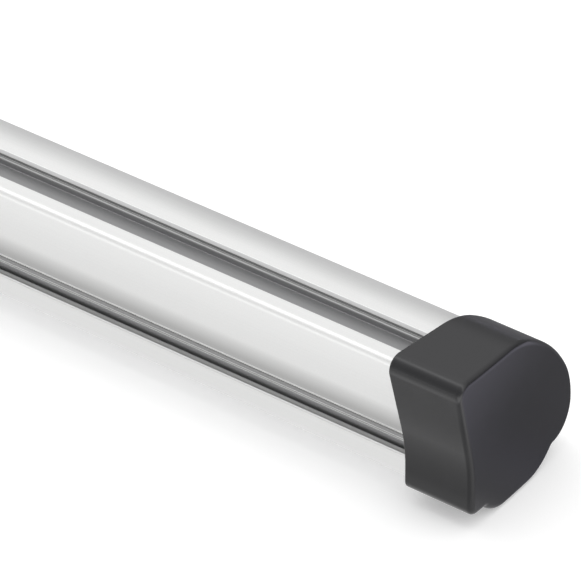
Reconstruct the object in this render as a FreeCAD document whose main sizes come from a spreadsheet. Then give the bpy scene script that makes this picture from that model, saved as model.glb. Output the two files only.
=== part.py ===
import FreeCAD, Part
import Sketcher
import math
import os

# Roof rack crossbar, in millimetres: a hollow aluminium aero bar with a moulded cap on each end.
# The bar runs along X. Its rounded nose faces +Y and its cut-off tail, with the accessory slot,
# faces -Y. The origin is at mid-length, in the middle of the bar's width, on the plane that the
# caps rest on, and Z is up.

DIMENSIONS = [
    # the bar's outline, clockwise from the tail's top corner
    ("bar_length", 1220),
    ("bar_width", 67),
    ("bar_height", 54.4),
    ("shoulder_radius", 30),
    ("shoulder_turn", 27.5),
    ("brow_radius", 66),
    ("brow_turn", 28.5),
    ("front_radius", 25.6),
    ("front_turn", 33),
    ("chin_radius", 9.1),
    ("notch_radius", 5.4),
    ("keel_front_radius", 19.2),
    ("keel_flat", 14.6),
    ("keel_centre", 0.4),
    ("keel_back_radius", 12.8),
    ("flange_rise", 5.4),
    ("flange_corner_radius", 0.5),
    ("hollow_drop", 43.4),
    ("hollow_radius", 66),
    ("tail_angle", 15.5),
    ("tail_corner_radius", 2),
    # open channel along the top, with a snap groove under each lip
    ("channel_setback", 6.9),
    ("channel_width", 13.7),
    ("channel_depth", 5.6),
    ("channel_lip", 1.6),
    ("snap_height", 1),
    ("snap_depth", 0.8),
    # accessory slot along the tail
    ("slot_drop", 32.3),
    ("slot_mouth", 8.5),
    ("slot_depth", 4.3),
    ("slot_lip", 1.9),
    ("slot_reach", 2.6),
    # mounting slot along the keel
    ("foot_mouth", 10),
    ("foot_width", 22),
    ("foot_height", 7.5),
    ("foot_lip", 2.6),
    # walls of the hollow cells
    ("bar_wall", 2),
    ("web_thickness", 2),
    ("cell_corner_radius", 1),
    # moulded cap
    ("fit_gap", 0.25),
    ("cap_wall", 2.8),
    ("cap_length", 29.1),
    ("cap_grip", 16),
    ("end_wall", 2.8),
    ("end_crown_radius", 630),
    ("end_sweep", 4.1),
    ("end_rake", 0.9),
    ("end_bevel", 1.2),
    ("rim_bevel", 0.3),
    # plugs and stop ribs inside the cap
    ("plug_gap", 0.3),
    ("plug_wall", 1.8),
    ("plug_reach", 14),
    ("rib_thickness", 2),
    ("rib_height", 30),
    # how far a cutting profile runs past the solid that it cuts
    ("overrun", 5),
]

# Places worked out from the dimensions. Heights are above the plane that the caps rest on.
LAYOUT = [
    ("grow_cap", "Dims.cap_wall + Dims.fit_gap"),
    ("keel_z", "grow_cap"),
    ("top_z", "grow_cap + Dims.bar_height"),
    ("flange_z", "grow_cap + Dims.flange_rise"),
    ("hollow_z", "top_z - Dims.hollow_drop"),
    ("back_y", "-Dims.bar_width / 2"),
    ("keel_back_y", "Dims.keel_centre - Dims.keel_flat / 2"),
    ("keel_front_y", "Dims.keel_centre + Dims.keel_flat / 2"),
    # centres of the nose arcs, each touching the next
    ("brow_end", "Dims.shoulder_turn + Dims.brow_turn"),
    ("front_y", "Dims.bar_width / 2 - Dims.front_radius"),
    ("brow_y", "front_y - (Dims.brow_radius - Dims.front_radius) * sin(brow_end)"),
    ("shoulder_y", "brow_y + (Dims.brow_radius - Dims.shoulder_radius) * sin(Dims.shoulder_turn)"),
    ("shoulder_z", "top_z - Dims.shoulder_radius"),
    ("brow_z", "shoulder_z - (Dims.brow_radius - Dims.shoulder_radius) * cos(Dims.shoulder_turn)"),
    ("front_z", "brow_z + (Dims.brow_radius - Dims.front_radius) * cos(brow_end)"),
    ("front_end", "brow_end + Dims.front_turn"),
    ("chin_y", "front_y + (Dims.front_radius - Dims.chin_radius) * sin(front_end)"),
    ("chin_z", "front_z + (Dims.front_radius - Dims.chin_radius) * cos(front_end)"),
    ("keel_front_z", "keel_z + Dims.keel_front_radius"),
    ("keel_back_z", "keel_z + Dims.keel_back_radius"),
    # tail: corner arc, straight face, hollow arc and upright flank
    ("corner_y", "back_y + Dims.tail_corner_radius"),
    ("corner_z", "top_z - Dims.tail_corner_radius"),
    ("hollow_top_z", "hollow_z + Dims.hollow_radius * sin(Dims.tail_angle)"),
    ("face_y", "corner_y - Dims.tail_corner_radius / cos(Dims.tail_angle)"),
    ("hollow_top_y", "face_y + (corner_z - hollow_top_z) * tan(Dims.tail_angle)"),
    ("hollow_y", "hollow_top_y - Dims.hollow_radius * cos(Dims.tail_angle)"),
    ("flank_y", "hollow_y + Dims.hollow_radius"),
    # top channel
    ("near_lip_y", "back_y + Dims.channel_setback"),
    ("far_lip_y", "near_lip_y + Dims.channel_width"),
    ("floor_z", "top_z - Dims.channel_depth"),
    ("snap_top_z", "top_z - Dims.channel_lip"),
    ("snap_low_z", "snap_top_z - Dims.snap_height"),
    ("snap_near_y", "near_lip_y - Dims.snap_depth"),
    ("snap_far_y", "far_lip_y + Dims.snap_depth"),
    # tail slot
    ("slot_top_z", "top_z - Dims.slot_drop"),
    ("slot_low_z", "slot_top_z - Dims.slot_mouth"),
    ("slot_back_y", "flank_y + Dims.slot_depth"),
    ("slot_inner_y", "flank_y + Dims.slot_lip"),
    ("slot_roof_z", "slot_top_z + Dims.slot_reach"),
    ("slot_bed_z", "slot_low_z - Dims.slot_reach"),
    # mounting slot
    ("foot_near_y", "Dims.keel_centre - Dims.foot_mouth / 2"),
    ("foot_far_y", "Dims.keel_centre + Dims.foot_mouth / 2"),
    ("foot_back_y", "Dims.keel_centre - Dims.foot_width / 2"),
    ("foot_front_y", "Dims.keel_centre + Dims.foot_width / 2"),
    ("foot_low_z", "keel_z + Dims.foot_lip"),
    ("foot_roof_z", "foot_low_z + Dims.foot_height"),
    # hollow cells between the webs
    ("back_web_y", "foot_back_y - Dims.web_thickness"),
    ("front_web_y", "foot_front_y + Dims.web_thickness"),
    ("cell_top_z", "floor_z - Dims.bar_wall"),
    ("cell_shelf_z", "slot_roof_z + Dims.bar_wall"),
    ("cell_low_z", "flange_z + Dims.bar_wall"),
    ("cell_back_y", "slot_back_y + Dims.bar_wall"),
    ("cell_roof_z", "foot_roof_z + Dims.web_thickness"),
    ("middle_back_y", "max(foot_back_y; snap_far_y + Dims.bar_wall)"),
    ("inner_face_y", "corner_y - (Dims.tail_corner_radius - Dims.bar_wall) / cos(Dims.tail_angle)"),
    # stop ribs inside the cap, a level one and an upright one
    ("rib_low_z", "grow_cap + Dims.rib_height - Dims.rib_thickness / 2"),
    ("rib_high_z", "rib_low_z + Dims.rib_thickness"),
    ("rib_back_y", "Dims.keel_centre - Dims.rib_thickness / 2"),
    ("rib_front_y", "Dims.keel_centre + Dims.rib_thickness / 2"),
    # just past the solid on each side
    ("above_z", "top_z + grow_cap + Dims.overrun"),
    ("under_z", "-Dims.overrun"),
    ("outside_y", "back_y - grow_cap - Dims.overrun"),
    ("ahead_y", "Dims.bar_width / 2 + grow_cap + Dims.overrun"),
    # cap end: a large cylinder, leaning by the sweep. The bar's end face is at zero
    ("rim_x", "-Dims.cap_grip"),
    ("end_x", "Dims.cap_length - Dims.cap_grip"),
    ("crown_x", "end_x - Dims.end_crown_radius * cos(Dims.end_sweep)"),
    ("crown_y", "back_y - Dims.end_crown_radius * sin(Dims.end_sweep)"),
    ("past_end_x", "end_x + 2 * Dims.overrun"),
]

START, END, CENTRE = 1, 2, 3
ORIGIN = (-1, 1)
# places nearer than this, in millimetres, are one place
SAME = 0.01

doc = FreeCAD.newDocument("crossbar")


def fill_sheet(name, rows, prefix=""):
    """Writes one alias a row, with its value or formula."""
    sheet = doc.addObject("Spreadsheet::Sheet", name)
    for number, (alias, content) in enumerate(rows, start=1):
        sheet.set("A%d" % number, alias)
        sheet.set("B%d" % number, prefix + str(content))
        sheet.setAlias("B%d" % number, alias)
    doc.recompute()
    return sheet


dims = fill_sheet("Dims", DIMENSIONS)
layout = fill_sheet("Layout", LAYOUT, prefix="=")


def size(alias):
    return float(dims.get(alias))


def place(alias):
    return float(layout.get(alias))


def origin_plane(body, role):
    return [f for f in body.Origin.OriginFeatures if f.Role == role][0]


def new_body(name):
    body = doc.addObject("PartDesign::Body", name)
    body.Label = name
    return body


def new_sketch(body, name, role, offset=None):
    """An empty sketch on one of the body's own origin planes, moved along its normal by offset."""
    sketch = body.newObject("Sketcher::SketchObject", name)
    sketch.AttachmentSupport = [(origin_plane(body, role), "")]
    sketch.MapMode = "FlatFace"
    if offset:
        sketch.setExpression(".AttachmentOffset.Base.z", offset)
    return sketch


def bind(sketch, kind, elements, value, expression, name):
    """Adds a named dimension and ties it to the sheets."""
    sketch.addConstraint(Sketcher.Constraint(kind, *elements, value))
    index = sketch.ConstraintCount - 1
    sketch.renameConstraint(index, name)
    sketch.setExpression("Constraints." + name, expression)


def polygon(sketch, name, corners):
    """A closed run of level and upright lines through corners, each a (y, z) pair of Layout names.

    The first line is level, the next upright, and so on."""
    first = sketch.GeometryCount
    count = len(corners)
    points = [FreeCAD.Vector(place(y), place(z), 0) for y, z in corners]
    for k in range(count):
        sketch.addGeometry(Part.LineSegment(points[k], points[(k + 1) % count]), False)
    for k in range(count):
        following = first + (k + 1) % count
        sketch.addConstraint(Sketcher.Constraint("Coincident", first + k, END, following, START))
        sketch.addConstraint(Sketcher.Constraint("Vertical" if k % 2 else "Horizontal", first + k))
    for k, (y, z) in enumerate(corners):
        start = (*ORIGIN, first + k, START)
        if k % 2:
            bind(sketch, "DistanceX", start, points[k].x, "Layout." + y, "%s_y%d" % (name, k))
        else:
            bind(sketch, "DistanceY", start, points[k].y, "Layout." + z, "%s_z%d" % (name, k))


def turn_point(centre, radius, turn):
    """The point of a circle at a turn, in degrees clockwise from straight up."""
    angle = math.radians(turn)
    return (centre[0] + radius * math.sin(angle), centre[1] + radius * math.cos(angle))


def turn_of(centre, point):
    """The turn, in degrees clockwise from straight up, at which a point lies from a centre."""
    return math.degrees(math.atan2(point[0] - centre[0], point[1] - centre[1])) % 360


def meeting(first, first_reach, second, second_reach):
    """The lower of the two points at the given distances from two centres."""
    gap_y, gap_z = second[0] - first[0], second[1] - first[1]
    gap = math.hypot(gap_y, gap_z)
    along = (first_reach ** 2 - second_reach ** 2 + gap ** 2) / (2 * gap)
    aside = math.sqrt(first_reach ** 2 - along ** 2)
    spots = []
    for side in (aside, -aside):
        y = first[0] + (along * gap_y - side * gap_z) / gap
        z = first[1] + (along * gap_z + side * gap_y) / gap
        spots.append((y, z))
    return min(spots, key=lambda spot: spot[1])


def arc(centre, radius, turn_from, turn_to):
    """An arc between two turns, the shorter way round."""
    return ("arc", centre, radius, turn_from, turn_to + 360 * round((turn_from - turn_to) / 360))


def line(start, end):
    return ("line", start, end)


def first_point(piece):
    """Where a line or arc of a run begins."""
    return piece[1] if piece[0] == "line" else turn_point(piece[1], piece[2], piece[3])


def last_point(piece):
    """Where a line or arc of a run ends."""
    return piece[2] if piece[0] == "line" else turn_point(piece[1], piece[2], piece[4])


def add_run(sketch, run, smooth):
    """Draws a closed run of lines and arcs, joined end to end, tangent after the pieces in smooth.

    Returns, for each piece, its number and which of its ends comes first and last along the run."""
    ends = []
    for piece in run:
        if piece[0] == "line":
            start, end = [FreeCAD.Vector(y, z, 0) for y, z in piece[1:]]
            ends.append((sketch.addGeometry(Part.LineSegment(start, end), False), START, END))
            continue
        (y, z), radius, turn_from, turn_to = piece[1:]
        circle = Part.Circle(FreeCAD.Vector(y, z, 0), FreeCAD.Vector(0, 0, 1), radius)
        low, high = sorted((math.radians(90 - turn_from), math.radians(90 - turn_to)))
        number = sketch.addGeometry(Part.ArcOfCircle(circle, low, high), False)
        clockwise = turn_to > turn_from
        ends.append((number, END, START) if clockwise else (number, START, END))
    for k in range(len(run)):
        number, _, last = ends[k]
        following, first, _ = ends[(k + 1) % len(run)]
        kind = "Tangent" if k in smooth else "Coincident"
        sketch.addConstraint(Sketcher.Constraint(kind, number, last, following, first))
    return ends


def nose_centres():
    """Centres of the nose's arcs, from the shoulder round to the keel."""
    shoulder = (place("shoulder_y"), place("shoulder_z"))
    brow = (place("brow_y"), place("brow_z"))
    front = (place("front_y"), place("front_z"))
    chin = (place("chin_y"), place("chin_z"))
    keel = (place("keel_front_y"), place("keel_front_z"))
    reach = size("notch_radius")
    notch = meeting(chin, size("chin_radius") + reach, keel, size("keel_front_radius") + reach)
    return shoulder, brow, front, chin, notch, keel


def add_outline(sketch, grow, grow_text):
    """The bar's closed outline, clockwise from the tail's top corner, moved outwards by grow."""
    shoulder, brow, front, chin, notch, keel_front = nose_centres()
    keel_back = (place("keel_back_y"), place("keel_back_z"))
    flange_z = place("flange_z")
    notch_radius = size("notch_radius")
    drop = keel_back[1] - (flange_z - notch_radius)
    aside = math.sqrt((size("keel_back_radius") + notch_radius) ** 2 - drop ** 2)
    cove = (keel_back[0] - aside, flange_z - notch_radius)
    corner = (place("corner_y"), place("corner_z"))
    hollow = (place("hollow_y"), place("hollow_z"))
    flank = place("flank_y") - grow
    toe = (place("flank_y") + size("flange_corner_radius"), flange_z + size("flange_corner_radius"))
    top = place("top_z") + grow
    low = place("keel_z") - grow
    lean = size("tail_angle")
    run = [
        line((corner[0], top), (shoulder[0], top)),
        arc(shoulder, size("shoulder_radius") + grow, 0, size("shoulder_turn")),
        arc(brow, size("brow_radius") + grow, size("shoulder_turn"), place("brow_end")),
        arc(front, size("front_radius") + grow, place("brow_end"), place("front_end")),
        arc(chin, size("chin_radius") + grow, place("front_end"), turn_of(chin, notch)),
        arc(notch, notch_radius - grow, turn_of(notch, chin), turn_of(notch, keel_front)),
        arc(keel_front, size("keel_front_radius") + grow, turn_of(keel_front, notch), 180),
        line((keel_front[0], low), (keel_back[0], low)),
        arc(keel_back, size("keel_back_radius") + grow, 180, turn_of(keel_back, cove)),
        arc(cove, notch_radius - grow, turn_of(cove, keel_back), 0),
        line((cove[0], flange_z - grow), (toe[0], flange_z - grow)),
        arc(toe, size("flange_corner_radius") + grow, 180, 270),
        line((flank, toe[1]), (flank, hollow[1])),
        arc(hollow, size("hollow_radius") - grow, 90, 90 - lean),
        line(turn_point(hollow, size("hollow_radius") - grow, 90 - lean),
             turn_point(corner, size("tail_corner_radius") + grow, 270 - lean)),
        arc(corner, size("tail_corner_radius") + grow, 270 - lean, 360),
    ]
    ends = add_run(sketch, run, smooth=range(len(run)))
    names = ["top", "shoulder", "brow", "front", "chin", "notch", "keel_front", "keel",
             "keel_back", "cove", "flange", "toe", "flank", "hollow", "face", "corner"]
    number = {name: ends[k][0] for k, name in enumerate(names)}
    radii = {"shoulder": "+", "brow": "+", "front": "+", "chin": "+", "notch": "-", "keel_front": "+",
             "keel_back": "+", "cove": "-", "toe": "+", "hollow": "-", "corner": "+"}
    sources = {"cove": "notch_radius", "toe": "flange_corner_radius", "corner": "tail_corner_radius"}
    for name, sign in radii.items():
        source = sources.get(name, name + "_radius")
        value = size(source) + (grow if sign == "+" else -grow)
        text = "Dims.%s %s %s" % (source, sign, grow_text)
        bind(sketch, "Radius", (number[name],), value, text, name + "_radius")
    for name in ("top", "keel", "flange"):
        sketch.addConstraint(Sketcher.Constraint("Horizontal", number[name]))
    sketch.addConstraint(Sketcher.Constraint("Vertical", number["flank"]))
    heights = {"top": "+", "keel": "-", "flange": "-"}
    for name, sign in heights.items():
        value = place(name + "_z") + (grow if sign == "+" else -grow)
        text = "Layout.%s_z %s %s" % (name, sign, grow_text)
        bind(sketch, "DistanceY", (*ORIGIN, number[name], START), value, text, name + "_height")
    centre = (*ORIGIN, number["hollow"], CENTRE)
    bind(sketch, "DistanceY", centre, hollow[1], "Layout.hollow_z", "hollow_height")
    for name in ("corner", "shoulder", "keel_back", "keel_front"):
        source = name + "_y"
        centre = (*ORIGIN, number[name], CENTRE)
        bind(sketch, "DistanceX", centre, place(source), "Layout." + source, name + "_place")
    turns = {"shoulder": "shoulder_turn", "brow": "brow_turn", "front": "front_turn",
             "hollow": "tail_angle"}
    for name, source in turns.items():
        turn = math.radians(size(source))
        bind(sketch, "Angle", (number[name],), turn, "Dims." + source, name + "_sweep")


def inner_face(z, inset):
    """Where the tail cell's sloping side, moved inwards by inset, crosses a height."""
    lean = math.radians(size("tail_angle"))
    return place("inner_face_y") + inset / math.cos(lean) + (place("corner_z") - z) * math.tan(lean)


def add_tail_cell(sketch, inset, inset_text, plug):
    """The cell behind the tail face. A plug fills only the part above the slot's roof."""
    top = place("cell_top_z") - inset
    right = place("back_web_y") - inset
    shelf = place("cell_shelf_z") + inset
    low = place("cell_low_z") + inset
    back = place("cell_back_y") + inset
    top_text = "Layout.cell_top_z - " + inset_text
    shelf_text = "Layout.cell_shelf_z + " + inset_text
    corners = [(inner_face(top, inset), top), (right, top)]
    corners += [(right, shelf)] if plug else [(right, low), (back, low), (back, shelf)]
    corners += [(inner_face(shelf, inset), shelf)]
    count = len(corners)
    run = [line(corners[k], corners[(k + 1) % count]) for k in range(count)]
    ends = [end[0] for end in add_run(sketch, run, smooth=())]
    tag = "tail_%d_" % ends[0]
    for k in range(count - 1):
        sketch.addConstraint(Sketcher.Constraint("Vertical" if k % 2 else "Horizontal", ends[k]))

    def tie(kind, k, end, value, text, name):
        bind(sketch, kind, (*ORIGIN, ends[k], end), value, text, tag + name)

    tie("DistanceY", 0, START, top, top_text, "top")
    tie("DistanceX", 1, START, right, "Layout.back_web_y - " + inset_text, "right")
    if not plug:
        tie("DistanceY", 2, START, low, "Layout.cell_low_z + " + inset_text, "low")
        tie("DistanceX", 3, START, back, "Layout.cell_back_y + " + inset_text, "back")
    tie("DistanceY", count - 2, END, shelf, shelf_text, "shelf")
    side = "Layout.inner_face_y + (%s) / cos(Dims.tail_angle)" % inset_text
    side += " + (Layout.corner_z - (%s)) * tan(Dims.tail_angle)"
    tie("DistanceX", 0, START, corners[0][0], side % top_text, "side_top")
    tie("DistanceX", count - 2, END, corners[-1][0], side % shelf_text, "side_low")
    return corners


def turn_above(centre, radius, y):
    """The turn, in degrees clockwise from straight up, at which a circle's upper side passes y."""
    return math.degrees(math.asin(max(-1, min(1, (y - centre[0]) / radius))))


def roof_pieces(back, ahead, off):
    """The names and pieces of the nose's upper side, moved inwards by off, between two places."""
    turns = [0, size("shoulder_turn"), place("brow_end"), place("front_end")]
    names, run = [], []
    if back < place("shoulder_y"):
        top = place("top_z") - off
        names.append("top")
        run.append(line((back, top), (place("shoulder_y"), top)))
    for k, name in enumerate(("shoulder", "brow", "front")):
        centre, radius = nose_centres()[k], size(name + "_radius") - off
        first = max(turns[k], turn_above(centre, radius, back))
        last = min(turns[k + 1], turn_above(centre, radius, ahead))
        if first < last:
            names.append(name)
            run.append(arc(centre, radius, first, last))
    return names, run


def tie_roof(sketch, tag, names, run, ends, off_text):
    """Ties the roof's first piece in place and each further one, tangent to it, by radius and centre."""
    for k, name in enumerate(names):
        if name == "top":
            height = run[k][1][1]
            sketch.addConstraint(Sketcher.Constraint("Horizontal", ends[k]))
            text = "Layout.top_z - " + off_text
            bind(sketch, "DistanceY", (*ORIGIN, ends[k], START), height, text, tag + "top")
            continue
        centre, radius = run[k][1], run[k][2]
        spot = (*ORIGIN, ends[k], CENTRE)
        text = "Dims.%s_radius - %s" % (name, off_text)
        bind(sketch, "Radius", (ends[k],), radius, text, tag + name)
        bind(sketch, "DistanceX", spot, centre[0], "Layout.%s_y" % name, tag + name + "_y")
        if k == 0:
            bind(sketch, "DistanceY", spot, centre[1], "Layout.%s_z" % name, tag + name + "_z")


def add_middle_cell(sketch, inset, inset_text):
    """The cell between the two webs, under the flat top and the shoulder."""
    off = size("bar_wall") + inset
    back = place("middle_back_y") + inset
    ahead = place("foot_front_y") - inset
    low = place("cell_roof_z") + inset
    names, run = roof_pieces(back, ahead, off)
    high_back, high_ahead = first_point(run[0]), last_point(run[-1])
    roof_count = len(run)
    run += [
        line(high_ahead, (ahead, low)),
        line((ahead, low), (back, low)),
        line((back, low), high_back),
    ]
    ends = [end[0] for end in add_run(sketch, run, smooth=range(roof_count - 1))]
    tag = "middle_%d_" % ends[0]
    tie_roof(sketch, tag, names, run, ends, "(Dims.bar_wall + %s)" % inset_text)
    ahead_wall, shelf, back_wall = ends[roof_count:]
    for number, kind in ((ahead_wall, "Vertical"), (shelf, "Horizontal"), (back_wall, "Vertical")):
        sketch.addConstraint(Sketcher.Constraint(kind, number))
    spots = [
        ("DistanceX", ahead_wall, ahead, "Layout.foot_front_y - ", "ahead"),
        ("DistanceY", shelf, low, "Layout.cell_roof_z + ", "low"),
        ("DistanceX", back_wall, back, "Layout.middle_back_y + ", "back"),
    ]
    for kind, number, value, text, name in spots:
        bind(sketch, kind, (*ORIGIN, number, START), value, text + inset_text, tag + name)
    return [high_back, high_ahead, (ahead, low), (back, low)]


def add_nose_cell(sketch, inset, inset_text):
    """The D-shaped cell behind the nose, from the front web round to the keel."""
    chin, notch, keel = nose_centres()[3:]
    off = size("bar_wall") + inset
    off_text = "(Dims.bar_wall + %s)" % inset_text
    back = place("front_web_y") + inset
    keel_radius = size("keel_front_radius") - off
    low = (back, keel[1] - math.sqrt(keel_radius ** 2 - (back - keel[0]) ** 2))
    names, run = roof_pieces(back, place("ahead_y"), off)
    high = first_point(run[0])
    roof_count = len(run)
    run += [
        arc(chin, size("chin_radius") - off, place("front_end"), turn_of(chin, notch)),
        arc(notch, size("notch_radius") + off, turn_of(notch, chin), turn_of(notch, keel)),
        arc(keel, keel_radius, turn_of(keel, notch), turn_of(keel, low)),
        line(low, high),
    ]
    ends = [end[0] for end in add_run(sketch, run, smooth=range(roof_count + 2))]
    tag = "nose_%d_" % ends[0]
    tie_roof(sketch, tag, names, run, ends, off_text)
    chin_arc, notch_arc, keel_arc, web = ends[roof_count:]
    sketch.addConstraint(Sketcher.Constraint("Vertical", web))
    web_text = "Layout.front_web_y + " + inset_text
    bind(sketch, "DistanceX", (*ORIGIN, web, START), back, web_text, tag + "back")
    arcs = [(chin_arc, "chin", "-"), (notch_arc, "notch", "+"), (keel_arc, "keel_front", "-")]
    for number, name, sign in arcs:
        value = size(name + "_radius") + (off if sign == "+" else -off)
        text = "Dims.%s_radius %s %s" % (name, sign, off_text)
        bind(sketch, "Radius", (number,), value, text, tag + name)
    spots = [
        ("DistanceX", chin_arc, chin[0], "chin_y"),
        ("DistanceX", keel_arc, keel[0], "keel_front_y"),
        ("DistanceY", keel_arc, keel[1], "keel_front_z"),
    ]
    for kind, number, value, source in spots:
        bind(sketch, kind, (*ORIGIN, number, CENTRE), value, "Layout." + source, tag + source)
    return [high, low]


def add_crown(sketch, inset, inset_text):
    """Everything past the cap's crowned end, seen from above; the arc is moved inwards by inset."""
    centre = (place("crown_x"), place("crown_y"))
    radius = size("end_crown_radius") - inset
    ahead, outside, past = place("ahead_y"), place("outside_y"), place("past_end_x")
    front_x, back_x = [centre[0] + math.sqrt(radius ** 2 - (y - centre[1]) ** 2)
                       for y in (ahead, outside)]
    run = [
        line((front_x, ahead), (past, ahead)),
        line((past, ahead), (past, outside)),
        line((past, outside), (back_x, outside)),
        arc(centre, radius, turn_of(centre, (back_x, outside)), turn_of(centre, (front_x, ahead))),
    ]
    ends = [end[0] for end in add_run(sketch, run, smooth=())]
    for k, kind in enumerate(("Horizontal", "Vertical", "Horizontal")):
        sketch.addConstraint(Sketcher.Constraint(kind, ends[k]))
    bind(sketch, "DistanceY", (*ORIGIN, ends[0], START), ahead, "Layout.ahead_y", "ahead")
    bind(sketch, "DistanceX", (*ORIGIN, ends[1], START), past, "Layout.past_end_x", "past")
    bind(sketch, "DistanceY", (*ORIGIN, ends[2], START), outside, "Layout.outside_y", "outside")
    bind(sketch, "Radius", (ends[3],), radius, "Dims.end_crown_radius - " + inset_text, "crown")
    bind(sketch, "DistanceX", (*ORIGIN, ends[3], CENTRE), centre[0], "Layout.crown_x", "crown_x")
    bind(sketch, "DistanceY", (*ORIGIN, ends[3], CENTRE), centre[1], "Layout.crown_y", "crown_y")


def pad(body, name, sketch, length, symmetric=False):
    """Extrudes a sketch along its normal, or half to each side."""
    feature = body.newObject("PartDesign::Pad", name)
    feature.Profile = sketch
    feature.SideType = "Symmetric" if symmetric else "One side"
    feature.setExpression("Length", length)
    doc.recompute()
    return feature


def pocket(body, name, sketch, symmetric=False):
    """Cuts a sketch right through: to both sides, or only along its normal. It has to remove something."""
    before = body.Shape.Volume
    feature = body.newObject("PartDesign::Pocket", name)
    feature.Profile = sketch
    feature.Type = "ThroughAll"
    feature.SideType = "Symmetric" if symmetric else "One side"
    feature.Reversed = not symmetric
    doc.recompute()
    if not feature.Shape.Volume < before:
        raise RuntimeError(name + " removes nothing")
    return feature


def fillet(body, name, edges, radius):
    """Rounds the named edges of the body as it stands."""
    base = body.Tip
    feature = body.newObject("PartDesign::Fillet", name)
    feature.Base = (base, edges)
    feature.setExpression("Radius", radius)
    doc.recompute()
    return feature


def chamfer(body, name, edges, reach):
    """Bevels the named edges of the body as it stands."""
    base = body.Tip
    feature = body.newObject("PartDesign::Chamfer", name)
    feature.Base = (base, edges)
    feature.setExpression("Size", reach)
    doc.recompute()
    return feature


def edges_where(shape, test):
    return ["Edge%d" % (k + 1) for k, edge in enumerate(shape.Edges) if test(edge)]


def runs_along(corners):
    """A test for the edges that run along the bar through any of the (y, z) corners."""
    def test(edge):
        points = [vertex.Point for vertex in edge.Vertexes]
        return any(all(math.hypot(p.y - y, p.z - z) < SAME for p in points) for y, z in corners)
    return test


def bounds_crown(shape, radius):
    """A test for the edges of the cap's crowned end face."""
    cylinders = [face for face in shape.Faces if isinstance(face.Surface, Part.Cylinder)]
    crown = [face for face in cylinders if abs(face.Surface.Radius - radius) < SAME][0]
    return lambda edge: any(edge.isSame(other) for other in crown.Edges)


def build_bar():
    """The extrusion: outline, three open channels and three closed cells."""
    body = new_body("crossbar_extrusion")
    outline = new_sketch(body, "BarOutline", "YZ_Plane")
    add_outline(outline, 0, "0")
    pad(body, "BarPad", outline, "Dims.bar_length", symmetric=True)

    channel = new_sketch(body, "TopChannel", "YZ_Plane")
    polygon(channel, "channel", [
        ("near_lip_y", "above_z"), ("far_lip_y", "above_z"), ("far_lip_y", "snap_top_z"),
        ("snap_far_y", "snap_top_z"), ("snap_far_y", "snap_low_z"), ("far_lip_y", "snap_low_z"),
        ("far_lip_y", "floor_z"), ("near_lip_y", "floor_z"), ("near_lip_y", "snap_low_z"),
        ("snap_near_y", "snap_low_z"), ("snap_near_y", "snap_top_z"), ("near_lip_y", "snap_top_z")])
    pocket(body, "TopChannelCut", channel, symmetric=True)

    slot = new_sketch(body, "TailSlot", "YZ_Plane")
    polygon(slot, "slot", [
        ("outside_y", "slot_top_z"), ("slot_inner_y", "slot_top_z"), ("slot_inner_y", "slot_roof_z"),
        ("slot_back_y", "slot_roof_z"), ("slot_back_y", "slot_bed_z"), ("slot_inner_y", "slot_bed_z"),
        ("slot_inner_y", "slot_low_z"), ("outside_y", "slot_low_z")])
    pocket(body, "TailSlotCut", slot, symmetric=True)

    foot = new_sketch(body, "FootSlot", "YZ_Plane")
    polygon(foot, "foot", [
        ("foot_back_y", "foot_roof_z"), ("foot_front_y", "foot_roof_z"), ("foot_front_y", "foot_low_z"),
        ("foot_far_y", "foot_low_z"), ("foot_far_y", "under_z"), ("foot_near_y", "under_z"),
        ("foot_near_y", "foot_low_z"), ("foot_back_y", "foot_low_z")])
    pocket(body, "FootSlotCut", foot, symmetric=True)

    cells = new_sketch(body, "Cells", "YZ_Plane")
    corners = add_tail_cell(cells, 0, "0", plug=False)
    corners += add_middle_cell(cells, 0, "0")
    corners += add_nose_cell(cells, 0, "0")
    pocket(body, "CellsCut", cells, symmetric=True)
    inner = edges_where(body.Shape, runs_along(corners))
    fillet(body, "CellCorners", inner, "Dims.cell_corner_radius")
    return body


def crowned_blank(name, grow, grow_text, inset, inset_text):
    """A block with the bar's outline, grown, from the cap's rim to its crowned end."""
    body = new_body(name)
    outline = new_sketch(body, name + "_outline", "YZ_Plane", "Layout.rim_x")
    add_outline(outline, grow, grow_text)
    pad(body, name + "_pad", outline, "Dims.cap_length + Dims.overrun")
    crown = new_sketch(body, name + "_crown", "XY_Plane", "Layout.top_z")
    crown.AttachmentOffset.Rotation = FreeCAD.Rotation(FreeCAD.Vector(0, 1, 0), size("end_rake"))
    crown.setExpression(".AttachmentOffset.Rotation.Angle", "Dims.end_rake")
    add_crown(crown, inset, inset_text)
    pocket(body, name + "_crown_cut", crown, symmetric=True)
    return body


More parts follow.
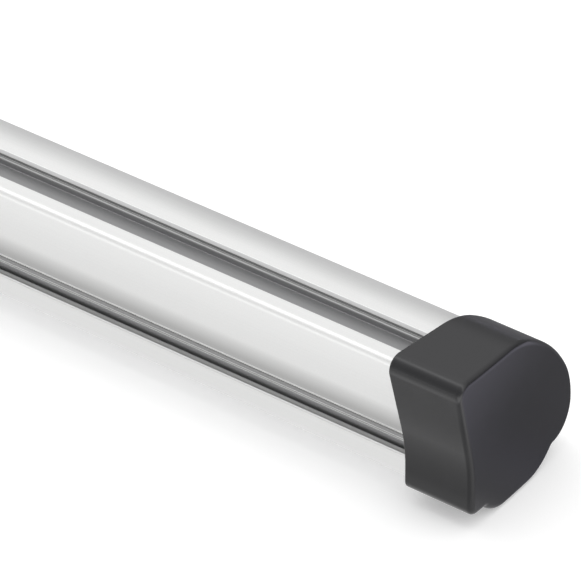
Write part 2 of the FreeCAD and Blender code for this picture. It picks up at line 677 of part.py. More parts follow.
def build_core():
    """The hollow of the cap as a solid: the bar's socket, less the stop ribs and the three plugs."""
    core = crowned_blank("cap_core", size("fit_gap"), "Dims.fit_gap", size("end_wall"), "Dims.end_wall")
    ribs = new_sketch(core, "StopRibs", "YZ_Plane")
    polygon(ribs, "rib", [
        ("rib_back_y", "above_z"), ("rib_front_y", "above_z"), ("rib_front_y", "rib_high_z"),
        ("ahead_y", "rib_high_z"), ("ahead_y", "rib_low_z"), ("rib_front_y", "rib_low_z"),
        ("rib_front_y", "under_z"), ("rib_back_y", "under_z"), ("rib_back_y", "rib_low_z"),
        ("outside_y", "rib_low_z"), ("outside_y", "rib_high_z"), ("rib_back_y", "rib_high_z")])
    pocket(core, "StopRibSlots", ribs)
    plugs = new_sketch(core, "Plugs", "YZ_Plane", "-Dims.plug_reach")
    insets = [
        (size("plug_gap") + size("plug_wall"), "(Dims.plug_gap + Dims.plug_wall)"),
        (size("plug_gap"), "Dims.plug_gap"),
    ]
    for inset, text in insets:
        corners = add_tail_cell(plugs, inset, text, plug=True)
        corners += add_middle_cell(plugs, inset, text)
        corners += add_nose_cell(plugs, inset, text)
    pocket(core, "PlugSlots", plugs)
    outer = edges_where(core.Shape, runs_along(corners))
    fillet(core, "PlugCorners", outer, "Dims.cell_corner_radius - Dims.plug_gap")
    return core


def build_cap():
    """The moulded cap for the +X end: crowned blank, bevelled edges, and the core taken out of it."""
    cap = crowned_blank("end_cap_right", place("grow_cap"), "Layout.grow_cap", 0, "0")
    crown = edges_where(cap.Shape, bounds_crown(cap.Shape, size("end_crown_radius")))
    chamfer(cap, "EndBevel", crown, "Dims.end_bevel")
    rim = edges_where(cap.Shape, lambda edge: edge.BoundBox.XMax - place("rim_x") < SAME)
    chamfer(cap, "RimBevel", rim, "Dims.rim_bevel")
    hollow = cap.newObject("PartDesign::Boolean", "Hollow")
    hollow.Type = "Cut"
    hollow.addObject(build_core())
    cap.Tip = hollow
    cap.setExpression("Placement.Base.x", "Dims.bar_length / 2")
    doc.recompute()
    return cap


bar = build_bar()
right_cap = build_cap()
left_cap = doc.addObject("Part::Mirroring", "end_cap_left")
left_cap.Label = "end_cap_left"
left_cap.Source = right_cap
left_cap.Normal = FreeCAD.Vector(1, 0, 0)
doc.recompute()

for item in doc.Objects:
    if {"Invalid", "Error"} & set(item.State):
        raise RuntimeError(item.Name + " did not build")
os.makedirs("parts", exist_ok=True)
for piece in (bar, right_cap, left_cap):
    if piece.Shape.isNull() or not piece.Shape.isValid():
        raise RuntimeError(piece.Label + " has no valid shape")
    piece.Shape.exportStep("parts/%s.step" % piece.Label)
    print("%s: %d solid, volume %.0f" % (piece.Label, len(piece.Shape.Solids), piece.Shape.Volume))
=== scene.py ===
import math

import bpy
import numpy as np
from mathutils import Matrix, Vector
from mathutils.geometry import tessellate_polygon


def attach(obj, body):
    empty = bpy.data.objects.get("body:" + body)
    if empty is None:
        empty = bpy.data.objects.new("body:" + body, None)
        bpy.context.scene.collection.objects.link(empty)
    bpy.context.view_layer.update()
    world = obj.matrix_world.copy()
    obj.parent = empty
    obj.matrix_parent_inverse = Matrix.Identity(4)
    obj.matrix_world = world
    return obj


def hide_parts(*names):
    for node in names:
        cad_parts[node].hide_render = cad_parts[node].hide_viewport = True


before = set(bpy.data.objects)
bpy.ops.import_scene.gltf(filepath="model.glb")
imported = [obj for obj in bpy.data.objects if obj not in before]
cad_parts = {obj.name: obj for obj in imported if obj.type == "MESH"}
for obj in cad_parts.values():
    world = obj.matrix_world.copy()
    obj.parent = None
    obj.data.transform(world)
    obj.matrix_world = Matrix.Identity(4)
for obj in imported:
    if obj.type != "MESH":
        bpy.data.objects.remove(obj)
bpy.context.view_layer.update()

# Crossbar extrusion: one length of hollow aluminium section, pushed through a die and cut square.
# The die leaves a rounded nose, an open channel along the top, a T-slot along the tail above a flat
# flange, a T-slot for the feet underneath, and fine lines that run the whole length of every face.
mm = 0.001
bar_end = 610.0
bar_top = 57.45
keel_level = 3.05
shoulder_centre, shoulder_radius = (-8.97, 27.45), 30.0
brow_centre, brow_radius = (-25.6, -4.48), 66.0
nose_centre, nose_radius = (7.9, 18.11), 25.6
chin_centre, chin_radius = (24.40, 18.40), 9.1
notch_radius = 5.4
keel_front_centre, keel_front_radius = (7.7, 22.25), 19.2
keel_back_centre, keel_back_radius = (-6.9, 15.85), 12.8
cove_centre, cove_radius = (-19.84, 3.05), 5.4
toe_centre, toe_radius = (-24.09, 8.95), 0.5
hollow_centre, hollow_radius = (-90.59, 14.05), 66.0
ridge_centre, ridge_radius = (-31.5, 55.45), 2.0
tail_lean = 15.5


def die_arc(centre, radius, start, end, step=2.5):
    """Points on a circle from one turn to another, in degrees clockwise from straight up: y is the
    centre plus radius times the sine, z the centre plus radius times the cosine. The normal points
    away from the centre where the turn grows, and towards it in a hollow, where the turn falls.
    """
    count = int(abs(end - start) / step) + 2
    turn = np.radians(np.linspace(start, end, count))
    outward = np.stack([np.sin(turn), np.cos(turn)], axis=1)
    side = 1.0 if end > start else -1.0
    return np.hstack([np.array(centre) + radius * outward, side * outward])


def die_flat(start, end, pitch=2.0):
    """Points inside a straight face, evenly spaced from start to end and without its two ends.
    The normal is the heading turned a quarter to the left, which points out of the metal.
    """
    start, end = np.array(start, float), np.array(end, float)
    length = np.linalg.norm(end - start)
    share = np.linspace(0, 1, int(length / pitch) + 3)[1:-1, None]
    heading = (end - start) / length
    normal = np.array([-heading[1], heading[0]])
    return np.hstack([start + share * (end - start), np.broadcast_to(normal, (len(share), 2))])


def die_corners(points, radius, steps=4):
    """Straight faces through the given corners, each inner corner eased by an arc that touches both
    faces. The arc's centre lies on the corner's bisector, radius over the sine of the half angle
    away, and its normals turn evenly from one face's to the other's. One radius serves all corners,
    or each has its own.
    """
    corner = np.array(points, float)
    back = corner[:-2] - corner[1:-1]
    ahead = corner[2:] - corner[1:-1]
    back /= np.linalg.norm(back, axis=1, keepdims=True)
    ahead /= np.linalg.norm(ahead, axis=1, keepdims=True)
    half = np.arccos(np.clip((back * ahead).sum(1, keepdims=True), -1, 1)) / 2
    middle = back + ahead
    middle /= np.linalg.norm(middle, axis=1, keepdims=True)
    radius = np.broadcast_to(radius, len(half))[:, None]
    centre = corner[1:-1] + middle * radius / np.sin(half)
    first = (corner[1:-1] + back * radius / np.tan(half) - centre) / radius
    last = (corner[1:-1] + ahead * radius / np.tan(half) - centre) / radius
    sweep = (math.pi - 2 * half)[:, None]
    share = np.linspace(0, 1, steps)[None, :, None]
    spoke = np.sin((1 - share) * sweep) * first[:, None] + np.sin(share * sweep) * last[:, None]
    spoke /= np.sin(sweep)
    turns_left = back[:, 1] * ahead[:, 0] - back[:, 0] * ahead[:, 1] > 0
    side = np.where(turns_left, -1.0, 1.0)[:, None, None]
    rows = np.concatenate([centre[:, None] + radius[:, None] * spoke, side * spoke], axis=2)
    return rows.reshape(-1, 4)


def turn_towards(start, end):
    """The turn of the line from start to end, clockwise from straight up, from 0 to 360 degrees."""
    return math.degrees(math.atan2(end[0] - start[0], end[1] - start[1])) % 360


def on_turn(centre, radius, turn):
    """The point on a circle at a turn, in degrees clockwise from straight up."""
    angle = math.radians(turn)
    return (centre[0] + radius * math.sin(angle), centre[1] + radius * math.cos(angle))


def hollow_turn(height):
    """The turn at which the hollow face's arc stands at a height: its cosine is the height over the
    arc's centre, divided by the radius.
    """
    return math.degrees(math.acos((height - hollow_centre[1]) / hollow_radius))


# The notch under the chin is a hollow that touches the chin and the keel, so its centre is one
# notch radius outside both arcs: the lower crossing of two circles.
chin_to_keel = np.subtract(keel_front_centre, chin_centre)
gap = np.linalg.norm(chin_to_keel)
reach_chin, reach_keel = chin_radius + notch_radius, keel_front_radius + notch_radius
along = (gap**2 + reach_chin**2 - reach_keel**2) / (2 * gap)
aside = math.sqrt(reach_chin**2 - along**2)
ahead_unit = chin_to_keel / gap
aside_unit = np.array([-ahead_unit[1], ahead_unit[0]])
notch_centre = tuple(np.array(chin_centre) + along * ahead_unit + aside * aside_unit)
chin_end = turn_towards(chin_centre, notch_centre)
keel_start = turn_towards(keel_front_centre, notch_centre)
keel_end = turn_towards(keel_back_centre, cove_centre)

# The top channel has a snap groove under each lip, and its far lip is bevelled and stands in.
near_lip_y, near_wall_y, near_groove_y = -26.4, -26.6, -27.4
far_lip_y, far_edge_y, far_wall_y, far_groove_y = -13.35, -12.75, -12.9, -12.1
channel_floor, groove_low, groove_high = 51.6, 54.2, 55.85
far_lip_low, far_lip_high = 56.1, 56.35
top_channel = [
    (ridge_centre[0], bar_top), (near_lip_y, bar_top), (near_lip_y, groove_high),
    (near_groove_y, groove_high), (near_groove_y, groove_low), (near_wall_y, groove_low),
    (near_wall_y, channel_floor), (far_wall_y, channel_floor), (far_wall_y, groove_low),
    (far_groove_y, groove_low), (far_groove_y, groove_high), (far_lip_y, far_lip_low),
    (far_lip_y, far_lip_high), (far_edge_y, bar_top), (shoulder_centre[0], bar_top),
]
channel_eases = [0.3, 0.12, 0.15, 0.15, 0.5, 0.3, 0.3, 0.5, 0.15, 0.15, 0.1, 0.1, 0.3]

mouth_back_y, mouth_front_y = -4.6, 5.4
cavity_back_y, cavity_front_y = -10.6, 11.4
foot_lip_top, foot_roof = 5.65, 13.15
foot_slot = [
    (keel_front_centre[0], keel_level), (mouth_front_y, keel_level),
    (mouth_front_y, foot_lip_top), (cavity_front_y, foot_lip_top), (cavity_front_y, foot_roof),
    (cavity_back_y, foot_roof), (cavity_back_y, foot_lip_top), (mouth_back_y, foot_lip_top),
    (mouth_back_y, keel_level), (keel_back_centre[0], keel_level),
]
foot_ease = 0.3

# The tail's T-slot opens through the hollow face. Its lower lip starts on that arc and slopes up
# inwards, its upper lip is a bead under the straight tail face, and its back wall has a small ledge.
slot_low, slot_high = 16.3, 24.5
slot_lip_y, slot_back_y = -22.69, -20.29
low_lip_y, lip_land, lip_rise = -22.1, 0.5, 0.5
slot_floor, slot_roof = 14.05, 27.75
slot_ledge_y, slot_ledge = -20.9, 18.75
slot_bead, bead_top, bead_slope = 0.28, 24.85, 0.25
low_turn = hollow_turn(slot_low - lip_land)
low_lip = on_turn(hollow_centre, hollow_radius, hollow_turn(slot_low))
hollow_end = 90.0 - tail_lean
tail_foot = on_turn(hollow_centre, hollow_radius, hollow_end)
tail_slope = math.tan(math.radians(tail_lean))
bead_root = (tail_foot[0] + (tail_foot[1] - bead_top) * tail_slope, bead_top)
bead_y = bead_root[0] - slot_bead
tail_slot = [
    on_turn(hollow_centre, hollow_radius, low_turn), low_lip, (low_lip_y, slot_low + lip_rise),
    (low_lip_y, slot_floor), (slot_ledge_y, slot_floor), (slot_ledge_y, slot_ledge),
    (slot_back_y, slot_ledge), (slot_back_y, slot_roof), (slot_lip_y, slot_roof),
    (slot_lip_y, slot_high), (bead_y, slot_high), (bead_y, bead_top - bead_slope),
    bead_root, tail_foot,
]
slot_eases = [0.85, 0.35, 0.3, 0.2, 0.3, 0.12, 0.3, 0.3, 0.2, 0.3, 0.15, 0.15]

shoulder_end, brow_end, nose_end = 27.5, 56.0, 89.0
nose_run = [
    die_arc(shoulder_centre, shoulder_radius, 0, shoulder_end),
    die_arc(brow_centre, brow_radius, shoulder_end, brow_end)[1:],
    die_arc(nose_centre, nose_radius, brow_end, nose_end)[1:],
    die_arc(chin_centre, chin_radius, nose_end, chin_end)[1:],
    die_arc(notch_centre, notch_radius, chin_end + 180, keel_start + 180, step=4)[1:],
    die_arc(keel_front_centre, keel_front_radius, keel_start, 180)[1:],
]
toe_level = toe_centre[1] - toe_radius
flank_y = toe_centre[0] - toe_radius
keel_run = [
    die_arc(keel_back_centre, keel_back_radius, 180, keel_end),
    die_arc(cove_centre, cove_radius, keel_end - 180, 0, step=4)[1:],
    die_flat((cove_centre[0], toe_level), (toe_centre[0], toe_level)),
    die_arc(toe_centre, toe_radius, 180, 270, step=15),
    die_flat((flank_y, toe_centre[1]), (flank_y, hollow_centre[1])),
]
tail_turn = 270.0 - tail_lean
tail_head = on_turn(ridge_centre, ridge_radius, tail_turn)
bar_section = np.vstack([
    die_corners(top_channel, channel_eases),
    *nose_run,
    die_corners(foot_slot, foot_ease),
    *keel_run,
    die_arc(hollow_centre, hollow_radius, 90, low_turn, step=1),
    die_corners(tail_slot, slot_eases),
    die_flat(bead_root, tail_head, pitch=1.0),
    die_arc(ridge_centre, ridge_radius, tail_turn, 360, step=6),
])


def grid_faces(rings, around):
    """The quads of a grid that is closed around its second direction, one row of corners a face."""
    ring, step = np.meshgrid(np.arange(rings - 1), np.arange(around), indexing="ij")
    here, beyond = ring * around, (ring + 1) * around
    after = (step + 1) % around
    corners = [here + step, here + after, beyond + after, beyond + step]
    return np.stack(corners, axis=-1).reshape(-1, 4)


def make_piece(name, points, faces, corner_normals, finish):
    """A mesh object at the origin from points in millimetres, faces and one normal for every corner
    of every face, with one material.
    """
    mesh = bpy.data.meshes.new(name)
    mesh.from_pydata((points * mm).tolist(), [], faces)
    mesh.polygons.foreach_set("use_smooth", np.ones(len(faces), bool))
    mesh.normals_split_custom_set(corner_normals.tolist())
    mesh.materials.append(finish)
    mesh.update()
    piece = bpy.data.objects.new(name, mesh)
    bpy.context.scene.collection.objects.link(piece)
    return piece


def extrude_bar(section, end, stations=25):
    """The section carried along X from minus end to plus end: x is the station and y, z are the
    section's. The two cut ends are the section's own area, in triangles that share its points.
    """
    around = len(section)
    x = np.repeat(np.linspace(-end, end, stations), around)
    points = np.column_stack([x, np.tile(section[:, :2], (stations, 1))])
    normals = np.column_stack([np.zeros(len(x)), np.tile(section[:, 2:], (stations, 1))])
    walls = grid_faces(stations, around)[:, ::-1]
    wall_normals = normals[walls].reshape(-1, 3)
    cut = np.array(tessellate_polygon([[Vector((0, y, z)) for y, z in section[:, :2]]]))
    first, second, third = (section[cut[:, k], :2] for k in range(3))
    cross = (second[:, 0] - first[:, 0]) * (third[:, 1] - first[:, 1])
    cross -= (second[:, 1] - first[:, 1]) * (third[:, 0] - first[:, 0])
    facing = np.where((cross > 0)[:, None], cut, cut[:, ::-1])
    ends = np.vstack([facing + (stations - 1) * around, facing[:, ::-1]])
    end_normals = np.repeat([[1.0, 0, 0], [-1.0, 0, 0]], 3 * len(facing), axis=0)
    faces = walls.tolist() + ends.tolist()
    return points, faces, np.vstack([wall_normals, end_normals])


aluminium = bpy.data.materials.new("satin_anodised_aluminium")
aluminium.use_nodes = True
nodes, links = aluminium.node_tree.nodes, aluminium.node_tree.links
metal = nodes["Principled BSDF"]
metal.inputs["Metallic"].default_value = 1.0
place = nodes.new("ShaderNodeTexCoord").outputs["Object"]


def stretched(vector, scales):
    """A place with each of its axes multiplied by its own scale."""
    node = nodes.new("ShaderNodeMapping")
    node.inputs["Scale"].default_value = scales
    links.new(vector, node.inputs["Vector"])
    return node.outputs["Vector"]


def speckle(vector, scale, detail, roughness=0.5):
    """Even noise over the surface: a larger scale makes it finer, and detail adds finer steps."""
    node = nodes.new("ShaderNodeTexNoise")
    node.inputs["Scale"].default_value = scale
    node.inputs["Detail"].default_value = detail
    node.inputs["Roughness"].default_value = roughness
    links.new(vector, node.inputs["Vector"])
    return node.outputs["Fac"]


def spread(value, start, end, low=0.0, high=1.0):
    """A value's way from start to end, carried to low and high in a straight line and held level
    past both ends.
    """
    node = nodes.new("ShaderNodeMapRange")
    limits = {"From Min": start, "From Max": end, "To Min": low, "To Max": high}
    for socket, number in limits.items():
        node.inputs[socket].default_value = number
    links.new(value, node.inputs["Value"])
    return node.outputs["Result"]


def reckon(operation, *values):
    """A sum of the given kind, on plain numbers and other nodes' outputs."""
    node = nodes.new("ShaderNodeMath")
    node.operation = operation
    for socket, value in zip(node.inputs, values):
        if isinstance(value, float):
            socket.default_value = value
        else:
            links.new(value, socket)
    return node.outputs["Value"]


def number_mix(share, first, second):
    """A number between two, by a share. A mixing node takes the share at socket 0 and the numbers
    at 2 and 3, and each of them is a plain number or another node's output.
    """
    node = nodes.new("ShaderNodeMix")
    for socket, value in ((0, share), (2, first), (3, second)):
        if isinstance(value, float):
            node.inputs[socket].default_value = value
        else:
            links.new(value, node.inputs[socket])
    return node.outputs[0]


def colour_mix(share, first, second):
    """A colour between two, by a share from another node. A mixing node takes its colours at
    sockets 6 and 7 and gives the mix at 2. The first is a plain colour or another node's output.
    """
    node = nodes.new("ShaderNodeMix")
    node.data_type = "RGBA"
    links.new(share, node.inputs[0])
    if isinstance(first, tuple):
        node.inputs[6].default_value = (*first, 1)
    else:
        links.new(first, node.inputs[6])
    node.inputs[7].default_value = (*second, 1)
    return node.outputs[2]


def relief(height, strength, distance, under=None):
    """The surface's normal with a height pressed into it, over another relief if one is given."""
    node = nodes.new("ShaderNodeBump")
    node.inputs["Strength"].default_value = strength
    node.inputs["Distance"].default_value = distance
    links.new(height, node.inputs["Height"])
    if under is not None:
        links.new(under, node.inputs["Normal"])
    return node.outputs["Normal"]


die_lines = speckle(stretched(place, (2.0, 1100.0, 1100.0)), scale=1.0, detail=4.0, roughness=0.65)
etch = speckle(place, scale=2600.0, detail=2.0)
clouds = speckle(stretched(place, (18.0, 60.0, 60.0)), scale=1.0, detail=3.0)
dull_metal, bright_metal = (0.862, 0.864, 0.859), (0.898, 0.900, 0.894)
tone = spread(number_mix(0.6, die_lines, etch), 0.35, 0.65)
metal_colour = colour_mix(tone, dull_metal, bright_metal)

# Painted shade: inside the channel and the slots the metal's colour is darkened to stand for the
# shade that falls in these recesses, darkest in the channel and the lower slot. Long boxes around
# the grooves mark it.
split_place = nodes.new("ShaderNodeSeparateXYZ")
links.new(place, split_place.inputs["Vector"])


def within(axis, low, high, fade):
    """One between low and high millimetres on an axis, falling to nothing over the fade outside."""
    middle, half = (low + high) / 2 * mm, (high - low) / 2 * mm
    apart = reckon("ABSOLUTE", reckon("SUBTRACT", split_place.outputs[axis], middle))
    return spread(apart, half, half + fade * mm, low=1.0, high=0.0)


def box_mark(across, up, fades):
    """One inside a box as long as the bar, with its reach on Y, its reach on Z and their fades."""
    return reckon("MULTIPLY", within("Y", *across, fades[0]), within("Z", *up, fades[1]))


channel_across, behind_lips = (-27.6, -11.9), (-21.5, -19.5)
in_channel = box_mark(channel_across, (50.8, 53.2), (0.05, 0.7))
in_snap_grooves = box_mark(channel_across, (54.4, 55.9), (0.05, 0.1))
in_low_slot = box_mark(behind_lips, (13.5, 18.5), (0.2, 0.1))
in_tail_slot = box_mark(behind_lips, (19.1, 28.2), (0.2, 0.2))
in_foot_slot = box_mark((-11.0, 11.8), (3.6, 13.6), (0.05, 0.3))
# Painted shade colours for the recesses: these greys stand for shade, not for a different finish.
slot_painted_shade = (0.45, 0.45, 0.45)
channel_painted_shade = (0.40, 0.40, 0.405)
in_slots = reckon("MAXIMUM", reckon("MAXIMUM", in_tail_slot, in_foot_slot), in_snap_grooves)
slot_colour = colour_mix(in_slots, metal_colour, slot_painted_shade)
in_depths = reckon("MAXIMUM", in_channel, in_low_slot)
channel_colour = colour_mix(in_depths, slot_colour, channel_painted_shade)

# Painted shade: the tail face's colour darkens evenly over about a centimetre above its slot.
shade_from, shade_to, deepest_shade = 35.6, 27.0, 0.8
tail_painted_shade = (0.46, 0.46, 0.455)
to_slot = spread(split_place.outputs["Z"], shade_from * mm, shade_to * mm, high=deepest_shade)
on_tail_face = box_mark((-29.4, -25.2), (25.6, 40.0), (0.1, 0.2))
painted_shade_above_slot = reckon("MULTIPLY", to_slot, on_tail_face)
bar_colour = colour_mix(painted_shade_above_slot, channel_colour, tail_painted_shade)
links.new(bar_colour, metal.inputs["Base Color"])

# The brush rubs the lips' edges smoother than the faces, so each edge shows as a thin bright line.
gloss = spread(clouds, 0.3, 0.7, low=0.56, high=0.61)
edge_gloss = 0.30
low_lip_edge = box_mark((-25.4, -23.7), (15.6, 16.6), (0.1, 0.1))
bead_edge = box_mark((-26.0, -25.0), (24.0, 24.9), (0.1, 0.1))
groove_edge = box_mark((-13.0, -12.3), (53.8, 54.3), (0.05, 0.1))
far_lip_edge = box_mark((-13.5, -13.1), (56.0, 56.5), (0.05, 0.1))
slot_edges = reckon("MAXIMUM", low_lip_edge, bead_edge)
channel_edges = reckon("MAXIMUM", groove_edge, far_lip_edge)
edges = reckon("MAXIMUM", slot_edges, channel_edges)
links.new(number_mix(edges, gloss, edge_gloss), metal.inputs["Roughness"])

line_relief = relief(die_lines, strength=0.12, distance=0.00003)
etch_relief = relief(etch, strength=0.3, distance=0.00002, under=line_relief)
links.new(etch_relief, metal.inputs["Normal"])

bar = make_piece("crossbar", *extrude_bar(bar_section, bar_end), aluminium)
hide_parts("crossbar_extrusion")
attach(bar, "root")

# End caps: one black moulding for each end, pushed over the bar as a sleeve with a closed, crowned
# end. The wall follows the bar's outline a quarter millimetre outside it. The end face is swept
# back towards the nose, and rounded where it meets the wall.
fit_gap = 0.25
cap_wall = 2.8
cap_rim_x = 594.0
cap_end_x = 623.1
crown_radius = 630.0
crown_sweep = 4.1
crown_rake = math.radians(0.9)
crown_edge_y = -33.5
end_round = 2.0
rim_round = 0.45
mouth_round = 0.2
socket_round = 0.5
socket_stations = (612.0, 606.0, 600.0)
crown_axis_x = cap_end_x - crown_radius * math.cos(math.radians(crown_sweep))
crown_axis_y = crown_edge_y - crown_radius * math.sin(math.radians(crown_sweep))
cap_middle = np.array([0.0, 28.0])
cap_outline = np.vstack([
    die_flat((ridge_centre[0], bar_top), (shoulder_centre[0], bar_top)),
    *nose_run,
    die_flat((keel_front_centre[0], keel_level), (keel_back_centre[0], keel_level)),
    *keel_run,
    die_arc(hollow_centre, hollow_radius, 90, hollow_end, step=1.5),
    die_flat(tail_foot, tail_head),
    die_arc(ridge_centre, ridge_radius, tail_turn, 360, step=6),
])


def crown(y, z, radius):
    """The swept, crowned end at a radius: x is the crown's axis plus the root of radius squared less
    the distance from the axis squared, raked by height. Returns x and the outward normals.
    """
    across = y - crown_axis_y
    along = np.sqrt(radius**2 - across**2)
    x = crown_axis_x + (along + (z - bar_top) * math.sin(crown_rake)) / math.cos(crown_rake)
    forward, down = math.cos(crown_rake), -math.sin(crown_rake)
    normal = np.stack([along / radius * forward, across / radius, along / radius * down], axis=-1)
    return x, normal


def cap_rings(outline):
    """The cap's skin as rings that follow the outline: from the middle of the inner end wall out to
    the socket wall, along it to the rim, round the rim, along the outer wall, round its end and in
    over the crowned face. Each ring is the outline moved along its normals by a grown distance, and
    a ring on an end face is that face's edge, drawn in to the middle by a share.
    """
    flat_normal = np.column_stack([np.zeros(len(outline)), outline[:, 2:]])
    axis = np.broadcast_to([1.0, 0, 0], flat_normal.shape)
    rings, normals = [], []

    def ring(grow, x, normal):
        at = outline[:, :2] + grow * outline[:, 2:]
        rings.append(np.column_stack([np.broadcast_to(x, len(at)), at]))
        normals.append(normal)

    def face_rings(edge, shares, radius, sign):
        for share in shares:
            at = cap_middle + share * (edge - cap_middle)
            x, normal = crown(at[:, 0], at[:, 1], radius)
            rings.append(np.column_stack([x, at]))
            normals.append(sign * normal)

    inner_radius = crown_radius - cap_wall
    inner_edge = outline[:, :2] + (fit_gap - socket_round) * outline[:, 2:]
    face_rings(inner_edge, (0.12, 0.45, 0.8, 1.0), inner_radius, -1)
    inner_x = rings[-1][:, 0]
    for turn in np.radians([30.0, 60.0, 90.0]):
        normal = -math.cos(turn) * axis - math.sin(turn) * flat_normal
        grow = fit_gap - socket_round * (1 - math.sin(turn))
        ring(grow, inner_x - socket_round * (1 - math.cos(turn)), normal)
    for station in socket_stations:
        ring(fit_gap, station, -flat_normal)
    for turn in np.radians([0.0, 30.0, 60.0, 90.0]):
        normal = -math.cos(turn) * flat_normal - math.sin(turn) * axis
        grow = fit_gap + mouth_round * (1 - math.cos(turn))
        ring(grow, cap_rim_x + mouth_round * (1 - math.sin(turn)), normal)
    outer = fit_gap + cap_wall
    for turn in np.radians([0.0, 22.5, 45.0, 67.5, 90.0]):
        normal = math.sin(turn) * flat_normal - math.cos(turn) * axis
        grow = outer - rim_round * (1 - math.sin(turn))
        ring(grow, cap_rim_x + rim_round * (1 - math.cos(turn)), normal)
    ball = outline[:, :2] + (outer - end_round) * outline[:, 2:]
    ball_x, face_normal = crown(ball[:, 0], ball[:, 1], crown_radius - end_round)
    wall_start = cap_rim_x + rim_round
    for share in (0.25, 0.5, 0.75):
        ring(outer, wall_start + share * (ball_x - wall_start), flat_normal)
    corner = np.arccos(np.clip((flat_normal * face_normal).sum(1, keepdims=True), -1, 1))
    for share in np.linspace(0, 1, 9):
        spoke = np.sin((1 - share) * corner) * flat_normal + np.sin(share * corner) * face_normal
        spoke /= np.sin(corner)
        rings.append(np.column_stack([ball_x, ball]) + end_round * spoke)
        normals.append(spoke)
    outer_shares = (0.93, 0.85, 0.74, 0.6, 0.45, 0.3, 0.16, 0.06)
    face_rings(rings[-1][:, 1:], outer_shares, crown_radius, 1)
    return np.array(rings), np.array(normals)


def close_cap(rings, normals, side):
    """The rings joined in order, with one point in the middle of each end wall, as a closed skin.
    Side 1 is the right cap and side -1 its mirror image, whose faces turn the other way.
    """
    count, around = rings.shape[:2]
    poles, pole_normals = [], []
    for radius, sign in ((crown_radius - cap_wall, -1.0), (crown_radius, 1.0)):
        x, normal = crown(cap_middle[0], cap_middle[1], radius)
        poles.append([x, *cap_middle])
        pole_normals.append(sign * normal)
    points = np.vstack([rings.reshape(-1, 3), poles]) * (side, 1, 1)
    all_normals = np.vstack([normals.reshape(-1, 3), pole_normals]) * (side, 1, 1)
    step = np.arange(around)
    after = (step + 1) % around
    inner_pole, outer_pole = count * around, count * around + 1
    inner_fan = np.stack([np.full(around, inner_pole), after, step], axis=1)
    last = (count - 1) * around
    outer_fan = np.stack([np.full(around, outer_pole), step + last, after + last], axis=1)
    quads = grid_faces(count, around)
    if side > 0:
        quads, inner_fan, outer_fan = quads[:, ::-1], inner_fan[:, ::-1], outer_fan[:, ::-1]
    fans = np.vstack([inner_fan, outer_fan])
    corner_normals = [all_normals[faces].reshape(-1, 3) for faces in (quads, fans)]
    return points, quads.tolist() + fans.tolist(), np.vstack(corner_normals)


plastic = bpy.data.materials.new("black_moulded_plastic")
plastic.use_nodes = True
nodes, links = plastic.node_tree.nodes, plastic.node_tree.links
moulded = nodes["Principled BSDF"]
moulded.inputs["IOR"].default_value = 1.52
place = nodes.new("ShaderNodeTexCoord").outputs["Object"]
grain = speckle(place, scale=3500.0, detail=3.0)
mottle = speckle(place, scale=160.0, detail=4.0)
deep_black, worn_black = (0.0080, 0.0079, 0.0094), (0.0112, 0.0110, 0.0132)
links.new(colour_mix(mottle, deep_black, worn_black), moulded.inputs["Base Color"])
matt = spread(mottle, 0.3, 0.7, low=0.21, high=0.27)
links.new(matt, moulded.inputs["Roughness"])
grain_relief = relief(grain, strength=0.3, distance=0.00003)
links.new(grain_relief, moulded.inputs["Normal"])

rings, ring_normals = cap_rings(cap_outline)
for side, name, node in ((1, "right_cap", "end_cap_right"), (-1, "left_cap", "end_cap_left")):
    cap = make_piece(name, *close_cap(rings, ring_normals, side), plastic)
    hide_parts(node)
    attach(cap, "root")

# Floor: a plain pale sheet under the bar, which lies on the keels of its caps. It isn't part of the
# object. Seen directly it is white paper with the bar's soft shadow, and what mirrors it sees a
# darker sheet that glows, most on the tail side of the bar and past its ends.
floor_half, floor_drop = 30.0, 0.0002
floor_signs = ((-1, -1), (1, -1), (1, 1), (-1, 1))
floor_corners = [(floor_half * x, floor_half * y, 0) for x, y in floor_signs]
floor_mesh = bpy.data.meshes.new("floor")
floor_mesh.from_pydata(floor_corners, [], [(0, 1, 2, 3)])
floor = bpy.data.objects.new("floor", floor_mesh)
floor.location.z = -floor_drop
bpy.context.scene.collection.objects.link(floor)
paper = bpy.data.materials.new("white_paper")
paper.use_nodes = True
nodes, links = paper.node_tree.nodes, paper.node_tree.links
sheet = nodes["Principled BSDF"]
sheet.inputs["Roughness"].default_value = 0.9
sheet.inputs["Specular IOR Level"].default_value = 0.0
place = nodes.new("ShaderNodeTexCoord").outputs["Object"]
paper_place = nodes.new("ShaderNodeSeparateXYZ")
links.new(place, paper_place.inputs["Vector"])
path = nodes.new("ShaderNodeLightPath")
mirrored = reckon("MAXIMUM", path.outputs["Is Glossy Ray"], path.outputs["Is Transmission Ray"])
seen_paper, mirrored_paper = (0.82, 0.82, 0.82), (0.17, 0.17, 0.17)
links.new(colour_mix(mirrored, seen_paper, mirrored_paper), sheet.inputs["Base Color"])


def graded(value, levels):
    """Greys on a smooth ramp, from pairs of place and level in rising order, read at a value. The
    ramp's own two stops become the first and the last.
    """
    node = nodes.new("ShaderNodeValToRGB")
    ramp = node.color_ramp
    ramp.interpolation = "EASE"
    for at, level in levels[1:-1]:
        stop = ramp.elements.new(at)
        stop.color = (level, level, level, 1)
    for index, (at, level) in ((0, levels[0]), (len(levels) - 1, levels[-1])):
        ramp.elements[index].position = at
        ramp.elements[index].color = (level, level, level, 1)
    links.new(value, node.inputs["Fac"])
    return node.outputs["Color"]


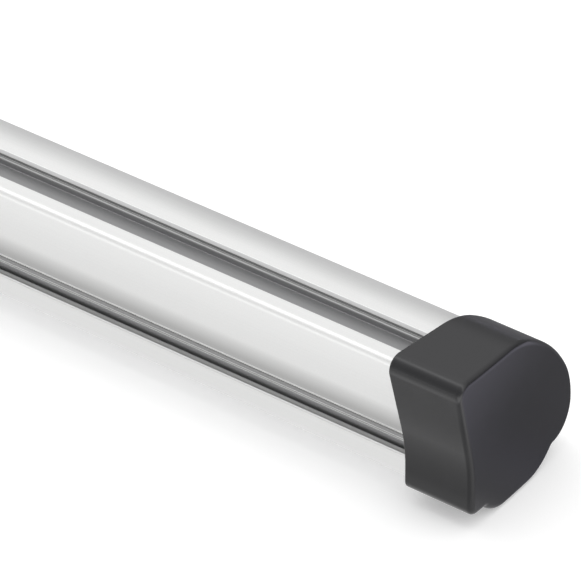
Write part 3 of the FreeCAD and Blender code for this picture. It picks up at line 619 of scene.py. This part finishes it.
# Each pair is a place across the paper in metres, from the tail side to behind the nose, and its
# glow.
glow_across = [
    (-0.25, 0.86), (-0.09, 1.36), (-0.056, 0.46), (-0.047, 0.42), (-0.040, 0.82), (-0.03, 0.90),
    (0.0, 0.26), (0.05, 0.09), (0.12, 0.06), (0.70, 0.06),
]
glow_start, glow_end = glow_across[0][0], glow_across[-1][0]
glow_width = glow_end - glow_start
glow_levels = [((y - glow_start) / glow_width, level) for y, level in glow_across]
paper_glow = graded(spread(paper_place.outputs["Y"], glow_start, glow_end), glow_levels)
past_end = reckon("ABSOLUTE", paper_place.outputs["X"])
open_paper = spread(past_end, 0.645, 0.690, high=0.85)
mirror_lift = reckon("MULTIPLY", mirrored, reckon("ADD", paper_glow, open_paper))
seen_lift = 0.32
lift = reckon("MULTIPLY_ADD", path.outputs["Is Camera Ray"], seen_lift, mirror_lift)
links.new(lift, sheet.inputs["Emission Strength"])

# Under the nose and behind it the mirrored glow is cooler.
behind_bar = spread(paper_place.outputs["Y"], -0.02, 0.02)
plain_glow, cool_glow = (1.0, 1.0, 1.0), (0.96, 0.93, 1.14)
glow_colour = colour_mix(reckon("MULTIPLY", behind_bar, mirrored), plain_glow, cool_glow)
links.new(glow_colour, sheet.inputs["Emission Color"])
floor_mesh.materials.append(paper)

# Light: a tunnel of pale light along the bar, as a photographer's tent gives, with one bright strip
# overhead. It is dimmer down both sides, and dimmest low down behind the nose. Seen directly it is
# plain white.
scene = bpy.context.scene
world = bpy.data.worlds.new("light_tent")
scene.world = world
world.use_nodes = True
nodes, links = world.node_tree.nodes, world.node_tree.links
tent = nodes["Background"]
towards = nodes.new("ShaderNodeTexCoord")
split = nodes.new("ShaderNodeSeparateXYZ")
links.new(towards.outputs["Generated"], split.inputs["Vector"])
to_tail_side = reckon("MULTIPLY", split.outputs["Y"], -1.0)
lean = reckon("ARCTAN2", to_tail_side, split.outputs["Z"])
around_bar = spread(lean, -math.pi / 2, math.pi / 2)
# Each band is a lean from straight up, in degrees towards the tail side, and its brightness.
bands = [
    (-90, 0.22), (-75, 0.30), (-60, 0.62), (-45, 0.92), (-30, 1.12), (-15, 1.22), (-6, 1.40),
    (2, 2.50), (10, 2.10), (18, 1.08), (28, 0.88), (38, 0.74), (48, 0.66), (58, 0.62), (68, 0.62),
    (78, 0.72), (90, 0.80),
]
ramp_scale = 3.0
tent_levels = [((turn + 90) / 180, level / ramp_scale) for turn, level in bands]
brighten = nodes.new("ShaderNodeVectorMath")
brighten.operation = "SCALE"
brighten.inputs["Scale"].default_value = ramp_scale
links.new(graded(around_bar, tent_levels), brighten.inputs[0])
path = nodes.new("ShaderNodeLightPath")
white = (1.0, 1.0, 1.0)
tent_colour = colour_mix(path.outputs["Is Camera Ray"], brighten.outputs["Vector"], white)
links.new(tent_colour, tent.inputs["Color"])
tent.inputs["Strength"].default_value = 1.0

# Camera: a long lens that looks down on the right cap from the tail side. It is turned by its
# azimuth and elevation, and moved until the cap's upper tail corner falls on that corner's pixel.
frame_pixels = 581.0
focal_pixels = 6157.4
azimuth, elevation = math.radians(39.776), math.radians(31.444)
level_reach = math.cos(elevation)
back_level = (math.sin(azimuth) * level_reach, -math.cos(azimuth) * level_reach)
back = Vector((*back_level, math.sin(elevation)))
right = Vector((math.cos(azimuth), math.sin(azimuth), 0.0))
up = back.cross(right)
corner_point = Vector((cap_end_x * mm, crown_edge_y * mm, bar_top * mm))
corner_pixel = (465.27, 393.41)
distance = 1.9684
shift_right = (corner_pixel[0] - frame_pixels / 2) / focal_pixels * distance
shift_up = (frame_pixels / 2 - corner_pixel[1]) / focal_pixels * distance
eye = corner_point - shift_right * right - shift_up * up + distance * back
sensor_width = 36.0
camera_data = bpy.data.cameras.new("camera")
camera_data.sensor_width = sensor_width
camera_data.lens = sensor_width * focal_pixels / frame_pixels
camera_data.clip_start = 0.05
camera_data.clip_end = 200.0
camera = bpy.data.objects.new("camera", camera_data)
turned = Matrix((right, up, back)).transposed().to_4x4()
camera.matrix_world = Matrix.Translation(eye) @ turned
scene.collection.objects.link(camera)
scene.camera = camera
scene.view_settings.view_transform = "Standard"
